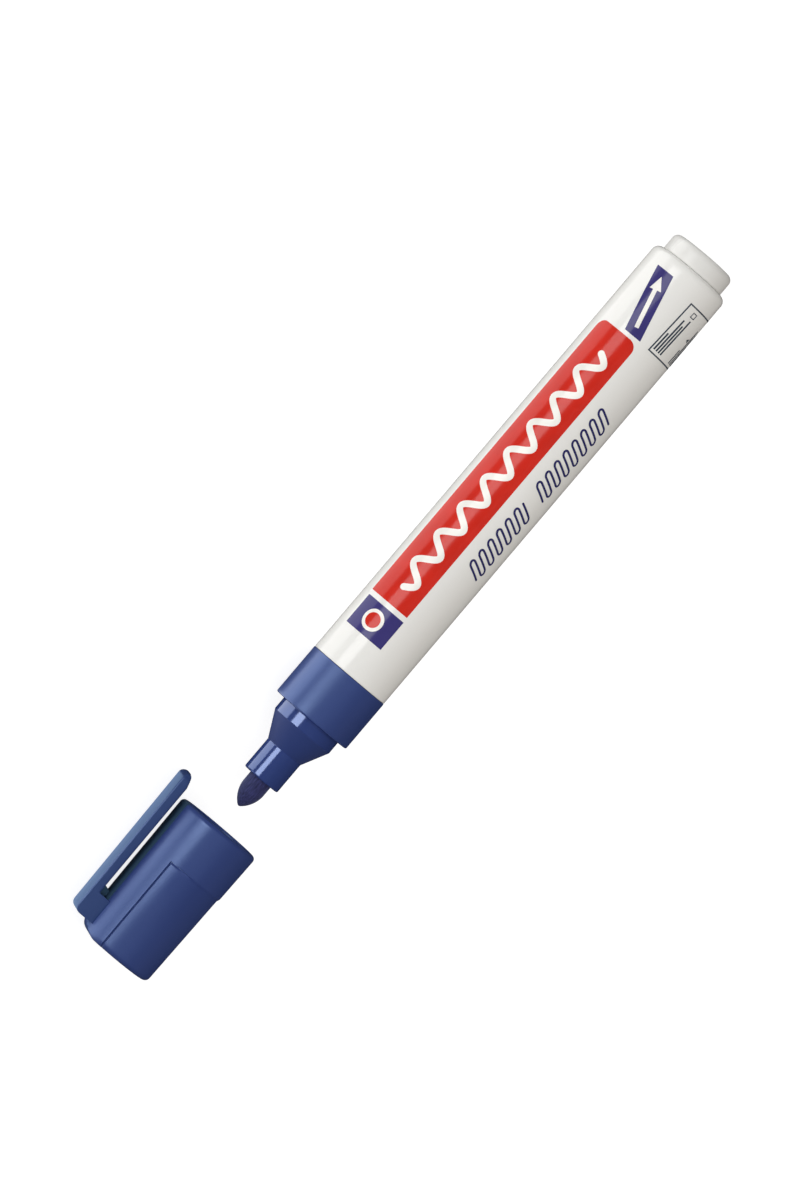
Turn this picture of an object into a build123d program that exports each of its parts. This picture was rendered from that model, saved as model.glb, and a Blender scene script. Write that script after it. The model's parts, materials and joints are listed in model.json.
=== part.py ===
from build123d import *

import math
import os

# Whiteboard marker with its cap pulled off, lying along X. Millimetres, +Z up.
# The rear end points to -X, the nib and the loose cap to +X. The pocket clip is on
# the -Y side and leans on the floor, so the marker doesn't roll.
# Every piece is drawn about the X axis, with x counted from the flat rear end, and
# placed at the end: the origin is under the middle of the whole object, on the floor.

# Driving dimensions, along the axis
plug_head = 3.7
barrel_length = 94.0
collar_length = 10.5
neck_length = 2.5
cone_length = 4.95
tube_length = 6.4
nib_out = 6.23
nib_length = 36.0
cap_length = 29.45
cap_off_gap = 5.07

# Driving dimensions, radii
barrel_r = 8.0
barrel_bore_r = 6.9
shoulder_bore_r = 6.0
collar_r = 8.05
neck_r = 6.28
tube_r = 3.75
nib_r = 2.3
plug_head_r = 6.55
reservoir_r = 5.6
cap_closed_r = 8.05
cap_rim_r = 8.45
cap_mouth_r = 6.65

# Walls, clearances and edges
wall = 1.1
press_gap = 0.02
slip_gap = 0.05
edge = 0.3
barrel_shoulder_fillet = 1.35
barrel_shoulder_depth = 4.0
plug_edge_fillet = 0.9
plug_stem_length = 7.0

# Inside the barrel
rib_count = 6
rib_width = 0.8
rib_clear = 0.05
rib_start = 11.4
rib_end_gap = 1.0
skirt_length = 10.0
reservoir_start = 12.0
reservoir_in_collar = 5.0
film_thickness = 0.1

# Front section inside
sleeve_wall = 0.9
sleeve_clear = 0.6
vent_count = 4
vent_r = 0.35

# Nib
ogive_length = 4.4
nib_tip_round = 0.5
nib_tail_taper = 1.6
nib_tail_r = 1.2

# Cap
cap_end_wall = 1.4
cap_end_fillet = 1.0
clip_side_rounding = 3.4
cap_draft_inside = 0.2
recess_depth = 0.25
recess_length = 19.7
rib_strip_half_angle = 61.0

# Inner seal of the cap
seal_mouth_depth = 8.4
seal_inner_r = 3.95
seal_wall = 1.0
seal_lip_gap = 0.04
seal_lip_length = 1.6
seal_cup_depth = 24.0
seal_flange = 2.0

# Pocket clip, in the plane through the axis; heights are distances from the axis
clip_half_width = 4.1
clip_root_start = 2.05
clip_root_end = 7.1
clip_tip = 33.55
clip_top_at_root = 11.25
clip_top_at_tip = 11.62
clip_under_at_root = 9.5
clip_under_at_tip = 9.65
clip_root_fillet = 1.2
clip_nose_fillet = 1.1
clip_nose_under_fillet = 0.5
clip_lead_start = 31.2
clip_lead_height = 10.3
clip_edge = 0.35

# Places along the axis
barrel_start = plug_head
barrel_end = barrel_start + barrel_length
collar_end = barrel_end + collar_length
neck_end = collar_end + neck_length
cone_end = neck_end + cone_length
tube_end = cone_end + tube_length
nib_end = tube_end + nib_out
cap_rim = nib_end + cap_off_gap
cap_end = cap_rim + cap_length
reservoir_end = barrel_end + reservoir_in_collar


def turned(points):
    """A closed outline of (x, radius) points turned about the X axis."""
    return revolve(make_face(Polyline(*points, close=True)), Axis.X)


def ring(solid, x, radius):
    """The round edges of the solid at that x with that radius."""
    found = []
    for e in solid.edges().filter_by(GeomType.CIRCLE):
        if abs(e.arc_center.X - x) < 0.01 and abs(e.radius - radius) < 0.01:
            found.append(e)
    return found


def tube(x0, x1, outer_r, inner_r):
    """A plain sleeve about the X axis."""
    return turned([(x0, inner_r), (x1, inner_r), (x1, outer_r), (x0, outer_r)])


def rod(x0, x1, radius):
    """A plain round bar about the X axis."""
    return turned([(x0, 0), (x1, 0), (x1, radius), (x0, radius)])


def barrel():
    """White tube, closed in to a thick ring at the rear, with ribs that hold the reservoir."""
    shoulder_end = barrel_start + barrel_shoulder_depth
    body = turned(
        [
            (barrel_start, shoulder_bore_r),
            (shoulder_end, shoulder_bore_r),
            (shoulder_end + barrel_bore_r - shoulder_bore_r, barrel_bore_r),
            (barrel_end, barrel_bore_r),
            (barrel_end, barrel_r),
            (barrel_start, barrel_r),
        ]
    )
    body = fillet(ring(body, barrel_start, barrel_r), barrel_shoulder_fillet)
    body = fillet(ring(body, barrel_end, barrel_r), edge / 2)
    rib_end = barrel_end - skirt_length - rib_end_gap
    rib_inner = reservoir_r + rib_clear
    rib_height = barrel_bore_r + wall / 2 - rib_inner
    for i in range(rib_count):
        rib = Box(rib_end - rib_start, rib_width, rib_height)
        rib = Pos((rib_start + rib_end) / 2, 0, rib_inner + rib_height / 2) * rib
        body += rib.rotate(Axis.X, 360 / rib_count * i)
    return body


def end_plug():
    """Stepped plug: its head stands out of the rear, its hollow stem sits in the barrel."""
    stem_r = shoulder_bore_r - press_gap
    stem_end = plug_head + plug_stem_length
    plug = turned(
        [
            (0, 0),
            (2 * wall, 0),
            (2 * wall, stem_r - wall),
            (stem_end, stem_r - wall),
            (stem_end, stem_r),
            (plug_head, stem_r),
            (plug_head, plug_head_r),
            (0, plug_head_r),
        ]
    )
    plug = fillet(ring(plug, 0, plug_head_r), plug_edge_fillet)
    return chamfer(ring(plug, stem_end, stem_r), edge)


def front_section():
    """Blue moulding: skirt in the barrel, collar, neck, cone and the tube that holds the nib."""
    skirt_r = barrel_bore_r - press_gap
    skirt_start = barrel_end - skirt_length
    cavity_r = skirt_r - wall
    sleeve_start = reservoir_end + sleeve_clear
    sleeve_r = nib_r + press_gap + sleeve_wall
    outside = turned(
        [
            (skirt_start, 0),
            (skirt_start, skirt_r),
            (barrel_end, skirt_r),
            (barrel_end, collar_r),
            (collar_end, collar_r),
            (collar_end, neck_r),
            (neck_end, neck_r),
            (cone_end, tube_r),
            (tube_end, tube_r),
            (tube_end, 0),
        ]
    )
    outside = fillet(ring(outside, collar_end, collar_r), edge)
    outside = fillet(ring(outside, barrel_end, collar_r), edge / 2)
    outside = fillet(ring(outside, neck_end, neck_r), edge)
    outside = fillet(ring(outside, tube_end, tube_r), edge)
    outside = chamfer(ring(outside, skirt_start, skirt_r), edge)
    outside -= turned(
        [
            (skirt_start, 0),
            (sleeve_start, 0),
            (sleeve_start, sleeve_r),
            (cone_end - wall, sleeve_r),
            (neck_end, neck_r - wall),
            (collar_end - wall, neck_r - wall),
            (collar_end - wall, cavity_r),
            (skirt_start, cavity_r),
        ]
    )
    return outside - nib_channel(sleeve_start)


def nib_channel(start):
    """The bore that the nib is pressed in, with grooves beside it that let air in."""
    channel_r = nib_r + press_gap
    channel = rod(start, tube_end, channel_r)
    for i in range(vent_count):
        vent = Pos(0, 0, channel_r) * rod(start, tube_end - wall, vent_r)
        channel += vent.rotate(Axis.X, 360 / vent_count * (i + 0.5))
    return channel


def fibre_nib():
    """Bullet nib: a long fibre rod with a rounded point and a tapered tail in the reservoir."""
    start = nib_end - nib_length
    ogive_start = nib_end - ogive_length
    ogive_r = (ogive_length**2 + nib_r**2) / (2 * nib_r)
    middle = ogive_length / 2
    middle_r = nib_r - ogive_r + math.sqrt(ogive_r**2 - middle**2)
    outline = Polyline(
        (nib_end, 0),
        (start, 0),
        (start, nib_tail_r),
        (start + nib_tail_taper, nib_r),
        (ogive_start, nib_r),
    )
    point = ThreePointArc((ogive_start, nib_r), (ogive_start + middle, middle_r), (nib_end, 0))
    nib = revolve(make_face([*outline.edges(), point]), Axis.X)
    return nib & nib_end_rounding(ogive_r)


def nib_end_rounding(ogive_r):
    """A long bar with a ball end that fits inside the ogive near its point."""
    drop = ogive_r - nib_r
    centre = nib_end - ogive_length + math.sqrt((ogive_r - nib_tip_round) ** 2 - drop**2)
    contact = (centre - (nib_end - ogive_length)) * ogive_r / (ogive_r - nib_tip_round)
    contact_x = nib_end - ogive_length + contact
    ball = Pos(centre, 0, 0) * Sphere(nib_tip_round)
    keep = rod(nib_end - nib_length - 1, contact_x, 2 * nib_r)
    return keep + ball


def ink_reservoir():
    """Fibre core that holds the ink, with the hole that the nib's tail has pressed in it."""
    core = rod(reservoir_start, reservoir_end, reservoir_r - film_thickness)
    tail_start = nib_end - nib_length - press_gap
    return core - rod(tail_start, reservoir_end, nib_r + press_gap)


def reservoir_film():
    """Thin plastic film wrapped round the fibre core."""
    return tube(reservoir_start, reservoir_end, reservoir_r, reservoir_r - film_thickness)


def cap_radius(x):
    """Outer radius of the cap at x, between its rim and its closed end."""
    return cap_rim_r + (cap_closed_r - cap_rim_r) * (x - cap_rim) / cap_length


def stepped_cap():
    """The cap's outline with its shallow step all round."""
    start = cap_end - recess_length
    low_r = cap_closed_r - recess_depth
    body = turned(
        [
            (cap_rim, 0),
            (cap_rim, cap_rim_r),
            (start, cap_radius(start)),
            (start, cap_radius(start) - recess_depth),
            (cap_end, low_r),
            (cap_end, 0),
        ]
    )
    return fillet(ring(body, cap_end, low_r), cap_end_fillet)


def cap_outside():
    """The cap's outside: stepped in all round, but for the full strip under the clip."""
    reach = 4 * cap_rim_r
    half_width = reach * math.tan(math.radians(rib_strip_half_angle))
    wedge = make_face(Polyline((0, 0), (-half_width, reach), (half_width, reach), close=True))
    strip = extrude(Plane.YZ.offset(cap_rim) * wedge, cap_length)
    full = turned([(cap_rim, 0), (cap_rim, cap_rim_r), (cap_end, cap_closed_r), (cap_end, 0)])
    full = fillet(ring(full, cap_end, cap_closed_r), cap_end_fillet)
    return stepped_cap() + (full & strip) - clip_side_corner()


def clip_side_corner():
    """What the larger rounding of the closed end, on the clip's side alone, takes away."""
    centre = Pos(cap_end - clip_side_rounding, 0, cap_closed_r - clip_side_rounding)
    size = 2 * clip_side_rounding
    width = 4 * cap_rim_r
    block = Box(size, width, size, align=(Align.MIN, Align.CENTER, Align.MIN))
    return centre * (block - Cylinder(clip_side_rounding, width, rotation=(90, 0, 0)))


def clip_arm():
    """The free arm of the clip, from the root's face to its rounded nose past the rim."""
    root = cap_end - clip_root_end
    tip = cap_end - clip_tip
    lead = cap_end - clip_lead_start
    outline = Polyline(
        (root, clip_under_at_root),
        (root, clip_top_at_root),
        (tip, clip_top_at_tip),
        (tip, clip_lead_height),
        (lead, clip_under_at_tip),
        close=True,
    )
    arm = extrude(Plane.XZ * make_face(outline), clip_half_width, both=True)
    nose = arm.edges().filter_by(Axis.Y).group_by(Axis.X)[0]
    arm = fillet(nose.sort_by(Axis.Z)[-1], clip_nose_fillet)
    nose = arm.edges().filter_by(Axis.Y).group_by(Axis.X)[0]
    arm = fillet(nose.sort_by(Axis.Z)[0], clip_nose_under_fillet)
    sides = [f for f in arm.faces().filter_by(Axis.Y)]
    rims = []
    for side in sides:
        for e in side.edges():
            if e.center().X < root - 0.01:
                rims.append(e)
    return fillet(rims, clip_edge)


def clip_root():
    """The block that joins the clip to the cap, rounded over its outer corner."""
    start = cap_end - clip_root_end
    end = cap_end - clip_root_start
    low = cap_closed_r - wall
    outline = Polyline(
        (start, low),
        (start, clip_top_at_root),
        (end, clip_top_at_root),
        (end, low),
        close=True,
    )
    block = extrude(Plane.XZ * make_face(outline), clip_half_width, both=True)
    outer = block.edges().filter_by(Axis.Y).group_by(Axis.X)[-1].sort_by(Axis.Z)[-1]
    block = fillet(outer, clip_root_fillet)
    rims = []
    for side in block.faces().filter_by(Axis.Y):
        for e in side.edges():
            if e.center().X > start + 0.01 and e.center().Z > low + 0.01:
                rims.append(e)
    return fillet(rims, clip_edge)


def cap_shell():
    """Blue cap: a drafted cup with a shallow step outside and the root of the clip."""
    outside = cap_outside() + clip_root()
    outside = fillet(ring(outside, cap_rim, cap_rim_r), edge)
    cavity_end = cap_end - cap_end_wall
    cavity_end_r = cap_mouth_r - cap_draft_inside
    outside -= turned(
        [(cap_rim, 0), (cap_rim, cap_mouth_r), (cavity_end, cavity_end_r), (cavity_end, 0)]
    )
    return chamfer(ring(outside, cap_rim, cap_mouth_r), edge)


def cap_inner_seal():
    """Soft cup inside the cap that closes round the nib tube."""
    floor = cap_end - cap_end_wall
    mouth = cap_rim + seal_mouth_depth
    cup_end = cap_rim + seal_cup_depth
    outer_r = seal_inner_r + seal_wall
    flange_r = cap_mouth_r - cap_draft_inside - slip_gap
    lip_r = tube_r + seal_lip_gap
    return turned(
        [
            (mouth, lip_r + edge),
            (mouth + edge, lip_r),
            (mouth + seal_lip_length - edge, lip_r),
            (mouth + seal_lip_length, seal_inner_r),
            (cup_end, seal_inner_r),
            (cup_end, 0),
            (floor, 0),
            (floor, flange_r),
            (floor - seal_flange, flange_r),
            (floor - seal_flange, outer_r),
            (mouth, outer_r),
        ]
    )


def clip_lean():
    """Angle below the horizontal at which the clip's lower corner and the cap's rim both touch the floor."""
    corner_out = clip_top_at_tip - clip_edge
    corner_side = clip_half_width - clip_edge
    corner_reach = math.hypot(corner_out, corner_side)
    corner_turn = math.degrees(math.atan2(corner_side, corner_out))
    from_straight_down = math.degrees(math.acos((cap_rim_r - clip_edge) / corner_reach))
    return 90 - from_straight_down - corner_turn


def turned_to_rest(piece):
    """Turns a piece of the cap so that its clip, drawn upwards, leans on the floor at -Y."""
    return piece.rotate(Axis.X, 90 + clip_lean())


pieces = {
    "barrel": barrel(),
    "end_plug": end_plug(),
    "front_section": front_section(),
    "fibre_nib": fibre_nib(),
    "ink_reservoir": ink_reservoir(),
    "reservoir_film": reservoir_film(),
    "cap_shell": turned_to_rest(cap_shell()),
    "cap_inner_seal": turned_to_rest(cap_inner_seal()),
    "pocket_clip": turned_to_rest(clip_arm()),
}

clip_box = pieces["pocket_clip"].bounding_box()
axis_x = -cap_end / 2
axis_y = -(clip_box.min.Y + cap_rim_r) / 2
axis_z = cap_rim_r

os.makedirs("parts", exist_ok=True)
for name, piece in pieces.items():
    export_step(Pos(axis_x, axis_y, axis_z) * piece, f"parts/{name}.step")
    print(name, round(piece.volume, 1))
print("axis at", axis_x, axis_y, axis_z, "clip lean", clip_lean())
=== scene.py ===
import json
import math

import bmesh
import bpy
from mathutils import Matrix, Vector

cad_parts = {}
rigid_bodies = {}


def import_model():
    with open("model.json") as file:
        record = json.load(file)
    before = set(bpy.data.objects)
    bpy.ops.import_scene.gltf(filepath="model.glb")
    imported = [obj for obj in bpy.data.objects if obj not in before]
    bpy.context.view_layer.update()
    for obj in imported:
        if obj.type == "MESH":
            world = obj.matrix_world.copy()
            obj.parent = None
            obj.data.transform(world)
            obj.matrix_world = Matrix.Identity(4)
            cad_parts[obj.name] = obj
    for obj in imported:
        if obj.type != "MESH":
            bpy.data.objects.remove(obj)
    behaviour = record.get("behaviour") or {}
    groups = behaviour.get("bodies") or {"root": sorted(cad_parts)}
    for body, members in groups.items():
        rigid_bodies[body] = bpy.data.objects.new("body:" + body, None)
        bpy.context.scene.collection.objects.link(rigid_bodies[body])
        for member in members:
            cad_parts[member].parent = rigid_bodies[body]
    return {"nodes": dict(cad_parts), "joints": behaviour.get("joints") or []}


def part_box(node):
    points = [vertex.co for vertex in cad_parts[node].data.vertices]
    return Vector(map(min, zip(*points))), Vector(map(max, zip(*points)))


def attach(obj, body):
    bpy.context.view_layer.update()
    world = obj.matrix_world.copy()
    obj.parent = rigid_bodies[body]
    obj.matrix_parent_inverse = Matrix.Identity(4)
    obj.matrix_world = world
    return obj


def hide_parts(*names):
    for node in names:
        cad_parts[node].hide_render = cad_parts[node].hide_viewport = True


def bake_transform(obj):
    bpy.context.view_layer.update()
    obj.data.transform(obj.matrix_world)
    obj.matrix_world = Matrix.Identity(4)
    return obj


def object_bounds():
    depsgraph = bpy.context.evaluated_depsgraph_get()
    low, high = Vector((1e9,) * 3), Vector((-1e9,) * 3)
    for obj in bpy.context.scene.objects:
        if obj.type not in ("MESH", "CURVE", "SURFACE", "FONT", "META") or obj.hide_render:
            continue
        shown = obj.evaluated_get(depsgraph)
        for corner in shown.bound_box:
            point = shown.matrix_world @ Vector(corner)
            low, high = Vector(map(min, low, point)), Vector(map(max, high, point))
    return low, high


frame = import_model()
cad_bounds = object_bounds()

# A whiteboard marker with its cap pulled off. Metres, in the frame's own axes.
# x runs along the marker. A point about the axis is given by its radius and by an angle
# that is 0 at the pocket clip and grows towards the camera.

MM = 0.001

# Places, read from the frame
barrel_low, barrel_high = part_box("barrel")
front_low, front_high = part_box("front_section")
plug_low, plug_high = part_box("end_plug")
nib_low, nib_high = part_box("fibre_nib")
cap_low, cap_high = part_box("cap_shell")
seal_low, seal_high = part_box("cap_inner_seal")
arm_low, arm_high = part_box("pocket_clip")
axis_y = (barrel_low.y + barrel_high.y) / 2
axis_z = (barrel_low.z + barrel_high.z) / 2
joints = {joint["name"]: joint for joint in frame["joints"]}
side_way = Vector(joints["clip_flex"]["axis"]).normalized()
clip_way = Vector((0, -side_way.z, side_way.y))

# Sizes
barrel_r = (barrel_high.z - barrel_low.z) / 2
collar_r = (front_high.z - front_low.z) / 2
collar_end = barrel_high.x + 10.5 * MM
neck_end = collar_end + 2.5 * MM
cone_end = neck_end + 4.95 * MM
tube_end = front_high.x
neck_r = 6.28 * MM
tube_r = 3.75 * MM
skirt_r = 6.88 * MM
bore_r = 6.9 * MM
plug_r = 6.55 * MM
stem_r = 5.98 * MM
nib_r = (nib_high.z - nib_low.z) / 2
channel_r = nib_r + 0.02 * MM
wall = 1.1 * MM
cap_rim = cap_low.x
cap_end = cap_high.x
cap_rim_r = 8.45 * MM
cap_closed_r = 8.05 * MM
cap_mouth_r = 6.65 * MM
recess_length = 19.7 * MM
recess_depth = 0.25 * MM
recess_half_angle = 61.0
seam = 0.04 * MM
dimple_depth = 0.15 * MM

# How finely round things are made: faces in a turn, and in the two curves of the nib.
# A point nearer the axis than ON_AXIS is taken as on it.
ROUND = 192
NIB_STEPS = 20
NOSE_STEPS = 6
ON_AXIS = 0.0001 * MM

# The cap's step: its profile inwards from its edge, as a fine groove and then the full depth,
# the ramp that it turns into between two angles from the clip, and the places about its edge,
# in millimetres, where it needs points
groove_depth = recess_depth + 0.14 * MM
STEP_PROFILE = (
    (0, 0.05 * MM, 0, groove_depth),
    (0.05 * MM, 0.2 * MM, groove_depth, groove_depth),
    (0.2 * MM, 0.32 * MM, groove_depth, recess_depth),
)
STEP_RAMP = 0.6 * MM
SOFT_FROM, SOFT_TO = 74, 98
STEP_PLACES = (-0.3, -0.1, 0.0, 0.05, 0.2, 0.32, 0.6)

# Half the width of the matt strip under the clip that is painted darker as shade, in degrees
PAINTED_SHADE_HALF_ANGLE = 24.4

# The ink, in millimetres: the widest facet round the barrel, how deep it is sunk, and how high
# each coat stands
PRINT_CUT = 0.25
PRINT_SINK = 0.05
FIRST_COAT = 0.03
SECOND_COAT = 0.045
THIRD_COAT = 0.06

# The camera looks square at the axis, this far round from the clip. The middle of the picture
# is that far along from the rear end and that far to the clip's side.
view_angle = 80.5
view_distance = 1.4
view_height = 213.33 * MM
view_slope = 49.68
view_middle = 81.74 * MM
view_shift = 1.75 * MM
film_height = 36


def about_axis(x, radius, degrees):
    """The point at x, at that radius and angle from the clip."""
    a = math.radians(degrees)
    out = clip_way * (radius * math.cos(a)) + side_way * (radius * math.sin(a))
    return Vector((x, axis_y + out.y, axis_z + out.z))


def at_clip(x, out, side):
    """The point at x, that far out from the axis along the clip's plane and that far to its side."""
    shift = clip_way * out + side_way * side
    return Vector((x, axis_y + shift.y, axis_z + shift.z))


def spread(first, last, count):
    """Evenly spaced numbers from first to last."""
    return [first + (last - first) * k / (count - 1) for k in range(count)]


def rounded(corners, steps=7):
    """Points of an outline through (x, radius, fillet) corners. A close point each side of a
    fillet, that part of its radius away, keeps the shading of the flats clean."""
    close = 0.35
    points = []
    last = len(corners) - 1
    for i, (x, r, fillet) in enumerate(corners):
        here = Vector((x, r))
        if fillet == 0 or i in (0, last):
            points.append(here)
            continue
        back = (Vector(corners[i - 1][:2]) - here).normalized()
        ahead = (Vector(corners[i + 1][:2]) - here).normalized()
        half = back.angle(ahead) / 2
        reach = fillet / math.tan(half)
        centre = here + (back + ahead).normalized() * (fillet / math.sin(half))
        start = here + back * reach
        end = here + ahead * reach
        hold = close * fillet
        points.append(start + back * hold)
        first = start - centre
        turn = first.angle_signed(end - centre)
        for k in range(steps + 1):
            a = -turn * k / steps
            points.append(
                centre
                + Vector(
                    (
                        first.x * math.cos(a) - first.y * math.sin(a),
                        first.x * math.sin(a) + first.y * math.cos(a),
                    )
                )
            )
        points.append(end + ahead * hold)
    return points


def add_mesh(name, points, faces, *materials):
    """A smooth mesh object with its faces turned outwards."""
    mesh = bpy.data.meshes.new(name)
    mesh.from_pydata([tuple(p) for p in points], [], faces)
    obj = bpy.data.objects.new(name, mesh)
    bpy.context.scene.collection.objects.link(obj)
    work = bmesh.new()
    work.from_mesh(mesh)
    bmesh.ops.recalc_face_normals(work, faces=work.faces)
    work.to_mesh(mesh)
    work.free()
    for material in materials:
        mesh.materials.append(material)
    for polygon in mesh.polygons:
        polygon.use_smooth = True
    return obj


def turned(name, outline, material, angles=None, reshape=None):
    """Turns an outline of (x, radius) about the axis. It is a loop, or starts and ends on the axis."""
    angles = angles or [360 * k / ROUND for k in range(ROUND)]
    count = len(angles)
    points = []
    rings = []
    for x, r in outline:
        if r < ON_AXIS:
            rings.append([len(points)] * count)
            points.append(about_axis(x, 0, 0))
            continue
        rings.append(list(range(len(points), len(points) + count)))
        for angle in angles:
            at_x, radius = reshape(x, r, angle) if reshape else (x, r)
            points.append(about_axis(at_x, radius, angle))
    pairs = list(zip(rings, rings[1:]))
    if outline[0][1] > ON_AXIS:
        pairs.append((rings[-1], rings[0]))
    faces = []
    for a, b in pairs:
        for k in range(count):
            n = (k + 1) % count
            corners = []
            for v in (a[k], a[n], b[n], b[k]):
                if v not in corners:
                    corners.append(v)
            if len(corners) > 2:
                faces.append(corners)
    return add_mesh(name, points, faces, material)


# Materials


def new_material(name, color, roughness):
    """A node material of that colour and roughness, with its nodes, links and shader."""
    material = bpy.data.materials.new(name)
    material.use_nodes = True
    nodes = material.node_tree.nodes
    links = material.node_tree.links
    shader = nodes["Principled BSDF"]
    shader.inputs["Base Color"].default_value = (*color, 1)
    shader.inputs["Roughness"].default_value = roughness
    return material, nodes, links, shader


def noise(nodes, links, scale, detail=3.0, stretch=(1, 1, 1)):
    """Noise in object space; scale is per metre."""
    place = nodes.new("ShaderNodeTexCoord")
    mapping = nodes.new("ShaderNodeMapping")
    mapping.inputs["Scale"].default_value = stretch
    texture = nodes.new("ShaderNodeTexNoise")
    texture.inputs["Scale"].default_value = scale
    texture.inputs["Detail"].default_value = detail
    links.new(place.outputs["Object"], mapping.inputs["Vector"])
    links.new(mapping.outputs["Vector"], texture.inputs["Vector"])
    return texture.outputs["Fac"]


def ranged(nodes, links, value, low, high):
    """Maps the middle of a noise to low..high."""
    node = nodes.new("ShaderNodeMapRange")
    node.inputs["From Min"].default_value = 0.3
    node.inputs["From Max"].default_value = 0.7
    node.inputs["To Min"].default_value = low
    node.inputs["To Max"].default_value = high
    links.new(value, node.inputs["Value"])
    return node.outputs["Result"]


def bump(nodes, links, heights, shader):
    """Adds up several (height, strength, distance) bumps on the shader."""
    normal = None
    for height, strength, distance in heights:
        node = nodes.new("ShaderNodeBump")
        node.inputs["Strength"].default_value = strength
        node.inputs["Distance"].default_value = distance
        links.new(height, node.inputs["Height"])
        if normal:
            links.new(normal, node.inputs["Normal"])
        normal = node.outputs["Normal"]
    links.new(normal, shader.inputs["Normal"])


def plastic(name, color, roughness, grain, grain_depth, clouding=0.05, uneven=0.08, shine=0.5):
    """Moulded plastic: fine grain, cloudy colour, and polish that varies where hands have rubbed it."""
    material, nodes, links, shader = new_material(name, color, roughness)
    shader.inputs["Specular IOR Level"].default_value = shine
    clouds = noise(nodes, links, 90, 4, (0.35, 1, 1))
    mix = nodes.new("ShaderNodeMixRGB")
    mix.inputs["Color1"].default_value = (*[c * (1 - clouding) for c in color], 1)
    mix.inputs["Color2"].default_value = (*[min(1, c * (1 + clouding)) for c in color], 1)
    links.new(ranged(nodes, links, clouds, 0, 1), mix.inputs["Fac"])
    links.new(mix.outputs["Color"], shader.inputs["Base Color"])
    rubbed = noise(nodes, links, 160, 5, (0.3, 1, 1))
    polish = ranged(nodes, links, rubbed, roughness - uneven / 2, roughness + uneven / 2)
    links.new(polish, shader.inputs["Roughness"])
    fine = noise(nodes, links, grain, 2)
    waves = noise(nodes, links, 220, 2, (0.2, 1, 1))
    bump(nodes, links, [(waves, 0.25, 0.00004), (fine, 0.5, grain_depth)], shader)
    return material


def fibre(name, color, strand, sheen=0.2):
    """Pressed fibre: strands along the axis, darker between them."""
    material, nodes, links, shader = new_material(name, color, 0.75)
    strands = noise(nodes, links, strand, 3, (0.12, 1, 1))
    mix = nodes.new("ShaderNodeMixRGB")
    mix.inputs["Color1"].default_value = (*[c * 0.55 for c in color], 1)
    mix.inputs["Color2"].default_value = (*[min(1, c * 1.6) for c in color], 1)
    links.new(ranged(nodes, links, strands, 0, 1), mix.inputs["Fac"])
    links.new(mix.outputs["Color"], shader.inputs["Base Color"])
    shader.inputs["Specular Tint"].default_value = (0.5, 0.65, 1, 1)
    shader.inputs["Sheen Weight"].default_value = sheen
    shader.inputs["Sheen Tint"].default_value = (0.6, 0.72, 1, 1)
    lumps = noise(nodes, links, strand / 3, 3)
    bump(nodes, links, [(lumps, 0.4, 0.00008), (strands, 0.6, 0.00005)], shader)
    return material


def printed(name, color, roughness=0.16):
    """Screen-printed ink: nearly flat colour with a slight orange-peel surface."""
    material, nodes, links, shader = new_material(name, color, roughness)
    shader.inputs["Specular IOR Level"].default_value = 0.3
    patches = noise(nodes, links, 260, 4)
    mix = nodes.new("ShaderNodeMixRGB")
    mix.inputs["Color1"].default_value = (*[c * 0.94 for c in color], 1)
    mix.inputs["Color2"].default_value = (*[min(1, c * 1.05) for c in color], 1)
    links.new(ranged(nodes, links, patches, 0, 1), mix.inputs["Fac"])
    links.new(mix.outputs["Color"], shader.inputs["Base Color"])
    bump(nodes, links, [(noise(nodes, links, 2500, 2), 0.2, 0.00001)], shader)
    return material


# Colours are linear.
BLUE = (0.034, 0.058, 0.208)
WHITE = (0.85, 0.845, 0.815)
BLUE_IOR = 1.8
SATIN_TINT = (0.46, 0.63, 1, 1)
POLISHED_TINT = (0.54, 0.66, 1, 1)

white_plastic = plastic(
    "white_plastic", WHITE, 0.13, 5000, 0.000002, clouding=0.012, uneven=0.05, shine=0.4
)
plug_plastic = plastic("plug_plastic", [0.91 * c for c in WHITE], 0.3, 4200, 0.000006, clouding=0.012)
blue_satin = plastic("blue_satin", BLUE, 0.39, 3600, 0.000012, uneven=0.16, shine=0.7)
blue_polished = plastic("blue_polished", BLUE, 0.13, 4000, 0.000002, uneven=0.05, shine=0.85)
# The cone's matt blue is 0.8 of the rest: a darker copy, painted shade.
blue_matt_painted_shade = plastic("blue_matt_painted_shade", [0.8 * c for c in BLUE], 0.6, 3200, 0.000014, shine=0.15)
# A darker, matt blue: painted shade, for the cap's strip under the clip and for the clip's web.
blue_painted_shade = plastic("blue_painted_shade", (0.038, 0.082, 0.14), 0.65, 3200, 0.000014, shine=0.1)
# The clip's blue: a darker copy of the satin blue, painted shade on the clip.
blue_clip_painted_shade = plastic("blue_clip_painted_shade", (0.027, 0.052, 0.168), 0.38, 3600, 0.000012, shine=0.7)
for material, tint in ((blue_satin, SATIN_TINT), (blue_clip_painted_shade, SATIN_TINT), (blue_polished, POLISHED_TINT)):
    shader = material.node_tree.nodes["Principled BSDF"]
    shader.inputs["Specular Tint"].default_value = tint
    shader.inputs["IOR"].default_value = BLUE_IOR
nib_fibre = fibre("nib_fibre", (0.03, 0.031, 0.104), 5200)
core_fibre = fibre("core_fibre", (0.03, 0.06, 0.35), 3000)
seal_soft = plastic("seal_soft", (0.03, 0.06, 0.2), 0.6, 3000, 0.00001)
clear_film = plastic("clear_film", (0.8, 0.82, 0.85), 0.15, 3000, 0.000004)
print_red = printed("print_red", (0.62, 0.024, 0.013))
print_violet = printed("print_violet", (0.048, 0.04, 0.18))
print_white = printed("print_white", (0.9, 0.88, 0.83))
print_grey = printed("print_grey", (0.045, 0.06, 0.085))
print_ink = printed("print_ink", (0.035, 0.035, 0.13))


# The marker


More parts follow.
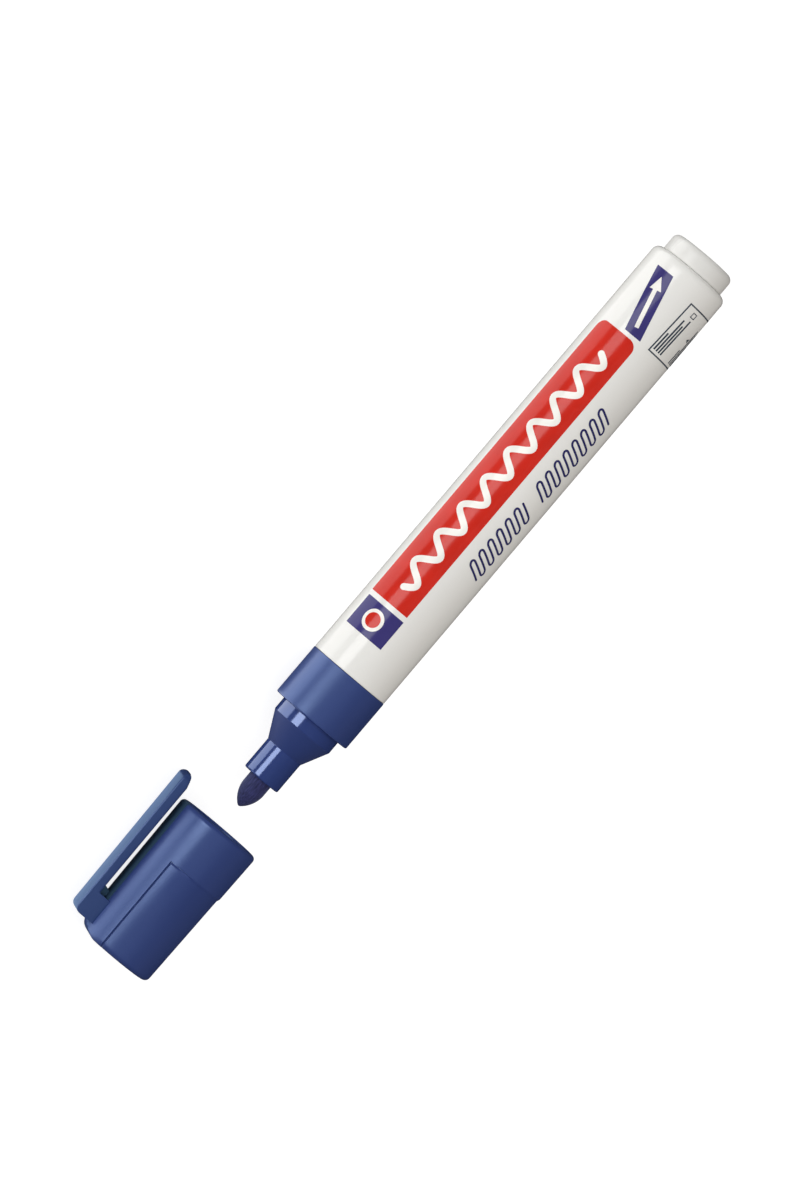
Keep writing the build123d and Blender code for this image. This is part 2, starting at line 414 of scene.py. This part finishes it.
def make_barrel():
    """White tube, rounded in at the rear and open to the front section's skirt."""
    shoulder_fillet = 1.35 * MM
    ring_r = stem_r + 0.02 * MM
    ring_end = barrel_low.x + 4 * MM
    corners = [
        (barrel_high.x, bore_r, 0),
        (barrel_high.x, barrel_r, 0.15 * MM),
        (barrel_low.x, barrel_r, shoulder_fillet),
        (barrel_low.x, ring_r, 0.1 * MM),
        (ring_end, ring_r, 0),
        (ring_end + 1 * MM, bore_r, 0),
    ]
    obj = turned("barrel_tube", rounded(corners), white_plastic)
    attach(obj, "marker")
    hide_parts("barrel")


def make_plug():
    """Stepped white plug with a shallow gate dimple in its end."""
    rear = plug_low.x
    dimple_r = 1.1 * MM
    head_fillet = 1.2 * MM
    corners = [
        (rear + dimple_depth, 0, 0),
        (rear + dimple_depth, dimple_r, 0.1 * MM),
        (rear, dimple_r + 0.25 * MM, 0.1 * MM),
        (rear, plug_r, head_fillet),
        (barrel_low.x - seam, plug_r, 0.12 * MM),
        (barrel_low.x - seam, stem_r, 0),
        (plug_high.x, stem_r, 0.2 * MM),
        (plug_high.x, stem_r - wall, 0),
        (rear + 2 * wall, stem_r - wall, 0),
        (rear + 2 * wall, 0, 0),
    ]
    obj = turned("rear_plug", rounded(corners), plug_plastic)
    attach(obj, "marker")
    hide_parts("end_plug")


def make_front():
    """Blue moulding: satin collar, polished neck, matt cone in a darker blue for painted shade, and
    polished nib tube.
    """
    corners = [
        (front_low.x, skirt_r - wall, 0),
        (front_low.x, skirt_r, 0.2 * MM),
        (barrel_high.x + seam, skirt_r, 0),
        (barrel_high.x + seam, collar_r, 0.15 * MM),
        (collar_end, collar_r, 0.3 * MM),
        (collar_end, neck_r, 0.12 * MM),
        (neck_end, neck_r, 0.3 * MM),
        (cone_end, tube_r, 0.25 * MM),
        (tube_end, tube_r, 0.3 * MM),
        (tube_end, channel_r, 0.12 * MM),
        (collar_end - wall, channel_r, 0),
        (collar_end - wall, skirt_r - wall, 0),
    ]
    obj = turned("front_moulding", rounded(corners), blue_satin)
    mesh = obj.data
    mesh.materials.append(blue_polished)
    mesh.materials.append(blue_matt_painted_shade)
    margin = 0.05 * MM
    for polygon in mesh.polygons:
        if neck_end < polygon.center.x < cone_end - margin:
            polygon.material_index = 2
        elif polygon.center.x > collar_end - margin:
            polygon.material_index = 1
    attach(obj, "marker")
    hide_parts("front_section")


def make_nib():
    """Bullet nib: an ogive point that runs into a small round nose."""
    ogive_length = 4.4 * MM
    nose_r = 0.5 * MM
    tail_r = 1.2 * MM
    tail_taper = 1.6 * MM
    ogive_r = (ogive_length**2 + nib_r**2) / (2 * nib_r)
    drop = ogive_r - nib_r
    nose_x = math.sqrt((ogive_r - nose_r) ** 2 - drop**2)
    start = nib_high.x - nose_r - nose_x
    lean = math.atan2(nose_x, drop)
    outline = [Vector((nib_low.x, 0)), Vector((nib_low.x, tail_r))]
    outline.append(Vector((nib_low.x + tail_taper, nib_r)))
    outline.append(Vector((start - 3 * MM, nib_r)))
    for k in range(NIB_STEPS + 1):
        a = lean * k / NIB_STEPS
        outline.append(Vector((start + ogive_r * math.sin(a), ogive_r * math.cos(a) - drop)))
    for k in range(1, NOSE_STEPS + 1):
        a = lean + (math.pi / 2 - lean) * k / NOSE_STEPS
        outline.append(Vector((start + nose_x + nose_r * math.sin(a), nose_r * math.cos(a))))
    outline[-1].y = 0
    obj = turned("bullet_nib", outline, nib_fibre)
    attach(obj, "marker")
    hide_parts("fibre_nib")


# The cap


def step_depth(distance, softness=0):
    """How deep the cap's step is, that far inside its edge: a fine groove, then the full step.
    Softness turns that into a plain ramp."""
    if distance <= 0:
        return 0
    crisp = recess_depth
    for start, end, depth_start, depth_end in STEP_PROFILE:
        if start <= distance < end:
            crisp = depth_start + (depth_end - depth_start) * (distance - start) / (end - start)
    ramp = recess_depth * min(1, distance / STEP_RAMP)
    return crisp + (ramp - crisp) * softness


def strip_angles():
    """Angles round the cap. At the two edges of the strip under the clip, the step's own places
    stand in for the even ones."""
    before, after = -0.5, 0.8
    per_mm = math.degrees(MM / cap_closed_r)
    angles = set(360 * k / ROUND for k in range(ROUND))
    for edge, way in ((recess_half_angle, 1), (360 - recess_half_angle, -1)):
        angles = set(a for a in angles if not before < (a - edge) * way / per_mm < after)
        angles |= set(edge + way * place * per_mm for place in STEP_PLACES)
    return sorted(angles)


def paint_shade_under_clip(mesh):
    """Gives the cap's strip under the clip a darker, matt blue: painted shade, where the clip shades the
    cap.
    """
    mesh.materials.append(blue_painted_shade)
    under_clip = math.cos(math.radians(PAINTED_SHADE_HALF_ANGLE))
    least_r = cap_closed_r - 0.3 * MM
    for polygon in mesh.polygons:
        out = Vector((0, polygon.center.y - axis_y, polygon.center.z - axis_z))
        outside = out.length > least_r and polygon.center.x < arm_high.x
        if outside and out.normalized().dot(clip_way) > under_clip:
            polygon.material_index = 1


def make_cap():
    """Blue cup: drafted, with a shallow step all round but for the strip under the clip."""
    step = cap_end - recess_length
    inner_end = cap_end - 1.4 * MM
    inner_r = cap_mouth_r - 0.2 * MM
    dimple_r = 1.3 * MM
    end_fillet = 1.0 * MM
    rim_fillet = 0.85 * MM
    mouth_fillet = 0.3 * MM
    corner_r = 3.4 * MM
    corner_low = cap_closed_r - corner_r
    lining_r = cap_mouth_r + 0.4 * MM
    lining_end = cap_end - 0.2 * MM
    crease = math.radians(50)

    def outer(x):
        return cap_rim_r + (cap_closed_r - cap_rim_r) * (x - cap_rim) / (cap_end - cap_rim)

    corners = [
        (cap_end - dimple_depth, 0, 0),
        (cap_end - dimple_depth, dimple_r, 0.1 * MM),
        (cap_end, dimple_r + 0.25 * MM, 0.1 * MM),
    ]
    corners += [(cap_end, r * MM, 0) for r in spread(2.0, 6.2, 14)]
    corners.append((cap_end, cap_closed_r, end_fillet))
    corners += [(cap_end - depth * MM, outer(cap_end - depth * MM), 0) for depth in spread(1.8, 3.6, 5)]
    corners += [(step + place * MM, outer(step), 0) for place in reversed(STEP_PLACES)]
    corners += [
        (cap_rim, cap_rim_r, rim_fillet),
        (cap_rim, cap_mouth_r, mouth_fillet),
        (inner_end, inner_r, 0),
        (inner_end, 0, 0),
    ]

    def reshape(x, r, angle):
        """Sinks the step, and rounds the closed end off over a larger corner at the clip."""
        if r < lining_r and x < lining_end:
            return x, r
        from_clip = min(angle, 360 - angle)
        round_way = math.radians(from_clip - recess_half_angle) * cap_closed_r
        if r > cap_mouth_r:
            softness = min(1, max(0, (from_clip - SOFT_FROM) / (SOFT_TO - SOFT_FROM)))
            r -= step_depth(min(round_way, x - step), softness)
        height = r * math.cos(math.radians(angle)) - corner_low
        if height > 0:
            x = min(x, cap_end - corner_r + math.sqrt(max(0, corner_r**2 - height**2)))
        return x, r

    obj = turned("cap_cup", rounded(corners), blue_satin, strip_angles(), reshape)
    obj.data.set_sharp_from_angle(angle=crease)
    paint_shade_under_clip(obj.data)
    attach(obj, "cap")
    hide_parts("cap_shell")


def make_seal():
    """Soft inner cup that closes round the nib tube."""
    mouth_r, lip_r, cup_r = 4.09 * MM, 3.79 * MM, 3.95 * MM
    sleeve_r, flange_r = 4.95 * MM, 6.4 * MM
    cup_end = seal_high.x - 4 * MM
    flange_start = seal_high.x - 2 * MM
    corners = [
        (seal_low.x, mouth_r, 0.1 * MM),
        (seal_low.x + 0.3 * MM, lip_r, 0.1 * MM),
        (seal_low.x + 1.6 * MM, cup_r, 0.1 * MM),
        (cup_end, cup_r, 0),
        (cup_end, 0, 0),
    ]
    outer = [
        (seal_high.x, 0, 0),
        (seal_high.x, flange_r, 0),
        (flange_start, flange_r, 0.2 * MM),
        (flange_start, sleeve_r, 0),
        (seal_low.x, sleeve_r, 0.15 * MM),
        (seal_low.x, mouth_r, 0),
    ]
    outline = rounded(outer) + rounded(corners)[1:]
    obj = turned("inner_seal", outline, seal_soft)
    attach(obj, "cap")
    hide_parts("cap_inner_seal")


def clip_sections():
    """Sections of the clip from tip to root: (depth from the closed end, low, high, half width)."""
    tip = (cap_end - arm_low.x) / MM
    root = (cap_end - arm_high.x) / MM
    root_start = 2.05
    half_width = 4.1
    top_at_root, top_at_tip = 11.25, 11.62
    under_at_root, under_at_tip, under_at_nose = 9.5, 9.65, 10.3
    lead_start = 31.2
    nose, nose_under, corner = 1.15, 0.55, 1.5
    root_fillet = 1.2
    slot_fillet = 0.35
    foot = 6.9

    def quarter(reach, r):
        """How far a round corner of radius r has dropped, that far along it."""
        return r - math.sqrt(max(0, r * r - min(max(reach, 0), r) ** 2))

    def high(d):
        top = top_at_root + (top_at_tip - top_at_root) * (d - root) / (tip - root)
        return top - quarter(d - tip + nose, nose) - quarter(root_start + root_fillet - d, root_fillet)

    def low(d):
        if d < root:
            return foot
        if d > lead_start:
            under = under_at_tip + (under_at_nose - under_at_tip) * (d - lead_start) / (tip - lead_start)
            return under + quarter(d - tip + nose_under, nose_under)
        under = under_at_root + (under_at_tip - under_at_root) * (d - root) / (lead_start - root)
        return under - quarter(root + slot_fillet - d, slot_fillet)

    def half(d):
        return half_width - quarter(d - tip + corner, corner)

    depths = [tip - nose * (1 - math.sin(math.radians(90 * k / 10))) for k in range(10, -1, -1)]
    depths += [tip - 1.35, tip - 1.6]
    depths += [lead_start + 0.3, lead_start + 0.1, lead_start - 0.1, lead_start - 0.3]
    depths += spread(lead_start - 1.0, root + slot_fillet + 0.5, 24)
    depths += spread(root + slot_fillet, root, 5)
    depths += [root - 0.08, root - 0.4]
    depths += spread(root - 1.2, root_start + root_fillet + 0.3, 4)
    depths += [root_start + root_fillet * (1 - math.sin(math.radians(90 * k / 8))) for k in range(9)]
    return [(d, low(d), high(d), half(d)) for d in depths]


def web_sections():
    """Sections of the narrow web that rounds off the end of the slot, in the same form."""
    root = (cap_end - arm_high.x) / MM
    web_length, corner, half_width = 1.5, 0.7, 1.6
    foot, under, top = 7.6, 9.55, 10.2
    sections = []
    for a in spread(0, 90, 8):
        d = root + web_length - corner * (1 - math.cos(math.radians(a)))
        low = under - (under - foot) * math.sin(math.radians(a))
        sections.append((d, low, top, half_width))
    sections.append((root - 0.5, foot, top, half_width))
    return sections


def make_clip():
    """The whole clip, root and arm in one mesh, and its web."""
    arm_edge, web_edge = 0.35, 0.2
    lofted_clip("pocket_clip_arm", clip_sections(), arm_edge, blue_clip_painted_shade)
    # The web is painted in the darker blue: painted shade at the end of the slot.
    lofted_clip("pocket_clip_web", web_sections(), web_edge, blue_painted_shade)


def lofted_clip(name, sections, edge, material):
    """A bar along the cap with rounded edges, bent where the clip's arm leaves its root."""
    turns = 5
    thin = 0.45
    crease = math.radians(32)
    points = []
    rings = []
    for depth, low, high, half in sections:
        round_r = min(edge, (high - low) * thin)
        ring = []
        for out_sign, side_sign, start in ((1, 1, 0), (1, -1, 90), (-1, -1, 180), (-1, 1, 270)):
            out_c = high - round_r if out_sign > 0 else low + round_r
            side_c = (half - round_r) * side_sign
            for k in range(turns + 1):
                a = math.radians(start + 90 * k / turns)
                side = side_c + round_r * math.cos(a)
                out = out_c + round_r * math.sin(a)
                ring.append(len(points))
                points.append(at_clip(cap_end - depth * MM, out * MM, side * MM))
        rings.append(ring)
    faces = [rings[0], rings[-1]]
    count = len(rings[0])
    for a, b in zip(rings, rings[1:]):
        for k in range(count):
            n = (k + 1) % count
            faces.append([a[k], a[n], b[n], b[k]])
    obj = add_mesh(name, points, faces, material)
    obj.data.set_sharp_from_angle(angle=crease)
    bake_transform(obj)
    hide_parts("pocket_clip")


# The print on the barrel, on its unrolled surface in millimetres: back is from the barrel's
# front edge towards the rear, around is from the camera's line, positive away from the clip.


def on_barrel(back, around, lift):
    """A point on the barrel's surface, raised by lift millimetres."""
    degrees = math.degrees(around * MM / barrel_r)
    return about_axis(barrel_high.x - back * MM, barrel_r + lift * MM, view_angle + degrees)


def print_shapes(name, outlines, material, lift=FIRST_COAT):
    """Flat ink shapes, given by their corners (back, around), laid round the barrel."""
    work = bmesh.new()
    for outline in outlines:
        work.faces.new([work.verts.new((back, around, 0)) for back, around in outline])
    work.normal_update()
    bmesh.ops.triangulate(work, faces=work.faces[:])
    low = min(vert.co.y for vert in work.verts)
    high = max(vert.co.y for vert in work.verts)
    for k in range(math.floor(low / PRINT_CUT) + 1, math.ceil(high / PRINT_CUT)):
        everything = work.verts[:] + work.edges[:] + work.faces[:]
        cut = (0, k * PRINT_CUT, 0)
        bmesh.ops.bisect_plane(work, geom=everything, plane_co=cut, plane_no=(0, 1, 0), dist=1e-5)
    made = bmesh.ops.extrude_face_region(work, geom=work.faces[:])
    raised = set(v for v in made["geom"] if isinstance(v, bmesh.types.BMVert))
    for vert in work.verts:
        vert.co = on_barrel(vert.co.x, vert.co.y, lift if vert in raised else -PRINT_SINK)
    work.normal_update()
    bmesh.ops.recalc_face_normals(work, faces=work.faces)
    mesh = bpy.data.meshes.new(name)
    work.to_mesh(mesh)
    work.free()
    mesh.materials.append(material)
    normals = []
    for polygon in mesh.polygons:
        polygon.use_smooth = True
        for vertex in polygon.vertices:
            place = mesh.vertices[vertex].co
            out = Vector((0, place.y - axis_y, place.z - axis_z)).normalized()
            normals.append(out if polygon.normal.dot(out) > 0.5 else polygon.normal.copy())
    mesh.normals_split_custom_set(normals)
    obj = bpy.data.objects.new(name, mesh)
    bpy.context.scene.collection.objects.link(obj)
    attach(obj, "marker")


def box_shape(back_low, back_high, around_low, around_high):
    """A rectangle."""
    return [
        (back_low, around_low),
        (back_high, around_low),
        (back_high, around_high),
        (back_low, around_high),
    ]


def ruled(back_low, back_high, around_low, around_high, line):
    """The four lines of a rectangle's outline."""
    return [
        box_shape(back_low, back_high, around_low, around_low + line),
        box_shape(back_low, back_high, around_high - line, around_high),
        box_shape(back_low, back_low + line, around_low + line, around_high - line),
        box_shape(back_high - line, back_high, around_low + line, around_high - line),
    ]


def arc(back, around, radius, start, turn, steps=10):
    """Points of an arc about (back, around); degrees are from back's way to around's."""
    angles = [math.radians(start + turn * k / steps) for k in range(steps + 1)]
    return [(back + radius * math.cos(a), around + radius * math.sin(a)) for a in angles]


def stroke(path, width):
    """The outline of a round-ended pen stroke along a path."""
    half = width / 2
    left = []
    right = []
    last = len(path) - 1
    for i, (x, y) in enumerate(path):
        before = Vector(path[max(i - 1, 0)])
        after = Vector(path[min(i + 1, last)])
        way = (after - before).normalized()
        left.append((x - way.y * half, y + way.x * half))
        right.append((x + way.y * half, y - way.x * half))
    first_way = math.degrees(math.atan2(path[1][1] - path[0][1], path[1][0] - path[0][0]))
    last_way = math.degrees(math.atan2(path[-1][1] - path[-2][1], path[-1][0] - path[-2][0]))
    nose = arc(*path[-1], half, last_way + 90, -180)
    tail = arc(*path[0], half, first_way - 90, -180)
    return left[:-1] + nose + right[-2:0:-1] + tail


def wave(start, length, middle, height, count, per_wave=24):
    """A sine line of that many waves."""
    path = []
    for k in range(round(count * per_wave) + 1):
        rise = height * math.sin(2 * math.pi * k / per_wave)
        path.append((start + length * k / (count * per_wave), middle + rise))
    return path


def loops(start, middle, height, pitch, count, slant):
    """A pen line of slanted strokes that turns in half circles, like the arches of handwriting."""
    half = pitch / 2
    end_height = height * 0.8
    path = [(start, end_height)]
    for k in range(count):
        way = 1 if k % 2 else -1
        centre = (start + (k + 0.5) * pitch, way * (height - half))
        path += arc(*centre, half, 180, -180 * way, 12)
    path.append((start + count * pitch, -way * end_height))
    return [(back - slant * rise, middle + rise) for back, rise in path]


def make_block():
    """Small square block with a ring and a dot in it, in place of a mark."""
    middle = (10.15, -3.2)
    ring_r, dot_r = 2.1, 1.45
    nearly_round = 354
    block = box_shape(7.0, 13.3, -7.72, 1.34)
    print_shapes("print_block", [block], print_violet)
    print_shapes("print_ring", [arc(*middle, ring_r, 0, nearly_round, 40)], print_white, SECOND_COAT)
    print_shapes("print_dot", [arc(*middle, dot_r, 0, nearly_round, 32)], print_red, THIRD_COAT)


def make_panel():
    """Long red panel, rounded at its rear end, with a thick pen wave in place of lettering."""
    r = 1.8
    start, end = 14.3, 77.4
    low, high = -8.04, 1.24
    panel = [(start, high), (start, low)]
    panel += arc(end - r, low + r, r, -90, 90)
    panel += arc(end - r, high - r, r, 0, 90)
    print_shapes("print_panel", [panel], print_red)
    line = wave(start=18.2, length=54.0, middle=-2.85, height=1.75, count=8.5)
    print_shapes("print_wave", [stroke(line, width=1.25)], print_white, SECOND_COAT)


def make_tag():
    """Violet tag with an arrow to the rear end, where the cap is kept while writing."""
    tag = [(78.2, -2.44), (90.8, -5.84), (90.8, -1.89), (78.2, 1.08)]
    print_shapes("print_tag", [tag], print_violet)
    tail = Vector((79.7, -1.05))
    point = Vector((89.5, -3.55))
    way = (point - tail).normalized()
    shaft = Vector((-way.y, way.x)) * 0.4
    head = Vector((-way.y, way.x)) * 1.15
    neck = point - way * 2.6
    arrow = [tail - shaft, neck - shaft, neck - head, point, neck + head, neck + shaft, tail + shaft]
    print_shapes("print_arrow", [[tuple(p) for p in arrow]], print_white, SECOND_COAT)


def make_scribble():
    """Two thin slanted pen scribbles under the panel."""
    middle, height, pitch, slant, width = 5.6, 2.0, 1.2, 0.4, 0.42
    scribbles = []
    for start, count in ((28.0, 12), (46.2, 15)):
        scribbles.append(stroke(loops(start, middle, height, pitch, count, slant), width))
    print_shapes("print_scribble", scribbles, print_ink)


def make_label():
    """Thin ruled frame with rows of lines, set a little askew, that runs on round the barrel."""
    length, height, line = 11.3, 11.0, 0.26
    start_back, start_around, slope, lean = 78.05, 3.1, 0.05, 0.02

    def askew(outline):
        return [(start_back + u - v * lean, start_around + v + u * slope) for u, v in outline]

    shapes = ruled(0, length, 0, height, line)
    row_start, row_height = 0.8, 0.34
    for first, pitch, row_ends in (
        (0.6, 0.62, (4.6, 8.2, 7.2, 8.8)),
        (6.0, 0.75, (3.9, 8.6, 7.8, 8.2, 5.4)),
    ):
        for k, row_end in enumerate(row_ends):
            top = first + pitch * k
            shapes.append(box_shape(row_start, row_end, top, top + row_height))
    triangle = [(5.6, 6.35), (6.05, 5.4), (6.5, 6.35)]
    shapes.append(triangle)
    shapes += ruled(9.3, 10.4, 1.8, 2.9, 0.16)
    print_shapes("print_label", [askew(shape) for shape in shapes], print_grey)


# Staging


def view_ways():
    """The directions towards the camera and to the clip's side of the picture."""
    a = math.radians(view_angle)
    back = clip_way * math.cos(a) + side_way * math.sin(a)
    left = clip_way * math.sin(a) - side_way * math.cos(a)
    return back, left


def placed(right, up, back, place):
    """The matrix of an object with these axes at that place."""
    matrix = Matrix((right, up, back)).transposed().to_4x4()
    matrix.translation = place
    return matrix


def make_camera():
    """The camera, rolled so that the marker slants across the picture."""
    back, left = view_ways()
    rearwards = Vector((-1, 0, 0))
    slope = math.radians(view_slope)
    right = rearwards * math.cos(slope) - left * math.sin(slope)
    up = rearwards * math.sin(slope) + left * math.cos(slope)
    target = Vector((plug_low.x + view_middle, axis_y, axis_z)) + left * view_shift
    data = bpy.data.cameras.new("camera")
    data.sensor_width = film_height
    data.lens = film_height * view_distance / view_height
    data.clip_start = 0.05
    data.clip_end = 20
    camera = bpy.data.objects.new("camera", data)
    bpy.context.scene.collection.objects.link(camera)
    camera.matrix_world = placed(right, up, back, target + back * view_distance)
    bpy.context.scene.camera = camera


def make_floor():
    """A large pale floor that glows, so that the shadows on it stay faint."""
    size = 3.0
    points = [(-size, -size, 0), (size, -size, 0), (size, size, 0), (-size, size, 0)]
    material, nodes, links, shader = new_material("floor", (0.32, 0.32, 0.32), 0.9)
    shader.inputs["Emission Color"].default_value = (1, 1, 1, 1)
    shader.inputs["Emission Strength"].default_value = 0.85
    shader.inputs["Specular IOR Level"].default_value = 0.0
    floor = add_mesh("floor", points, [[0, 1, 2, 3]], material)
    floor.location.z = cad_bounds[0].z
    floor.visible_glossy = False


def add_light(name, width, height, radiance, matrix):
    """A rectangular softbox that shines along its own -Z, as bright as that all over."""
    data = bpy.data.lights.new(name, "AREA")
    data.shape = "RECTANGLE"
    data.size = width
    data.size_y = height
    data.energy = math.pi * width * height * radiance
    light = bpy.data.objects.new(name, data)
    bpy.context.scene.collection.objects.link(light)
    light.matrix_world = matrix
    light.visible_camera = False
    return light


def softbox(name, turn, spread_angle, distance, length, radiance):
    """A softbox along the marker, turned that many degrees from the camera to the clip's side."""
    back, left = view_ways()
    a = math.radians(turn)
    away = back * math.cos(a) + left * math.sin(a)
    along = Vector((1, 0, 0))
    place = Vector((0, axis_y, axis_z)) + away * distance
    height = 2 * distance * math.tan(math.radians(spread_angle / 2))
    return add_light(name, length, height, radiance, placed(along, away.cross(along), away, place))


def floor_card(name, low_x, high_x, near, far, radiance):
    """A glowing card flat on the floor on the clip's side, seen in reflections alone."""
    middle = Vector(((low_x + high_x) / 2, axis_y - (near + far) / 2, cad_bounds[0].z + 0.1 * MM))
    matrix = placed(Vector((1, 0, 0)), Vector((0, -1, 0)), Vector((0, 0, -1)), middle)
    card = add_light(name, high_x - low_x, far - near, radiance, matrix)
    card.visible_diffuse = False
    return card


def keep_off_cap(*cards):
    """Lets the cards show on every mesh but the cap's, whose rim would catch them."""
    marker_pieces = bpy.data.collections.new("marker_pieces")
    for obj in bpy.context.scene.objects:
        if obj.type == "MESH" and not obj.name.startswith(("cap_", "pocket_", "inner_")):
            marker_pieces.objects.link(obj)
    for card in cards:
        card.light_linking.receiver_collection = marker_pieces


def make_lights():
    """A softbox that shows as a streak, three that only shine, and the reflection cards."""
    distance, streak_length, soft_length = 1.0, 0.34, 0.8
    softbox("streak_light", 33.3, 27.4, distance, streak_length, 4.3)
    for name, turn, spread_angle, radiance, color in (
        ("side_light", 30, 40, 1.1, (1, 1, 1)),
        ("top_light", -20, 40, 2.4, (1, 1, 1)),
        ("far_light", -80, 50, 0.86, (1.08, 0.96, 0.86)),
    ):
        light = softbox(name, turn, spread_angle, distance, soft_length, radiance)
        light.data.color = color
        light.visible_glossy = False
    past_end = 20 * MM
    marker_start = cad_bounds[0].x - past_end
    marker_stop = tube_end + 1 * MM
    cap_stop = cad_bounds[1].x + past_end
    marker_card = floor_card("marker_card", marker_start, marker_stop, 12 * MM, 58 * MM, 2.0)
    neck_card = floor_card("neck_card", collar_end, marker_stop, 8.3 * MM, 12 * MM, 2.0)
    keep_off_cap(marker_card, neck_card)
    floor_card("cap_card", cap_low.x + 1.5 * MM, cap_stop, 16 * MM, 90 * MM, 2.0)
    clip_card = floor_card("clip_card", arm_low.x + 1 * MM, cap_stop, 6.5 * MM, 13 * MM, 0.75)
    clip_card.data.color = (0.68, 0.95, 1.25)


def make_world():
    """A dim, warm surround that looks as pale as the floor where the camera sees it."""
    world = bpy.data.worlds.new("world")
    bpy.context.scene.world = world
    world.use_nodes = True
    nodes = world.node_tree.nodes
    links = world.node_tree.links
    surround = nodes["Background"]
    surround.inputs["Color"].default_value = (1.0, 0.98, 0.95, 1)
    surround.inputs["Strength"].default_value = 0.13
    backdrop = nodes.new("ShaderNodeBackground")
    backdrop.inputs["Color"].default_value = (0.87, 0.87, 0.87, 1)
    mix = nodes.new("ShaderNodeMixShader")
    links.new(nodes.new("ShaderNodeLightPath").outputs["Is Camera Ray"], mix.inputs[0])
    links.new(surround.outputs["Background"], mix.inputs[1])
    links.new(backdrop.outputs["Background"], mix.inputs[2])
    links.new(mix.outputs["Shader"], nodes["World Output"].inputs["Surface"])
    world.cycles_visibility.glossy = False
    bpy.context.scene.view_settings.view_transform = "Standard"


make_barrel()
make_plug()
make_front()
make_nib()
make_cap()
make_seal()
make_clip()
make_block()
make_panel()
make_tag()
make_scribble()
make_label()
for node, material in (("ink_reservoir", core_fibre), ("reservoir_film", clear_film)):
    frame["nodes"][node].material_slots[0].material = material
make_camera()
make_floor()
make_world()
make_lights()
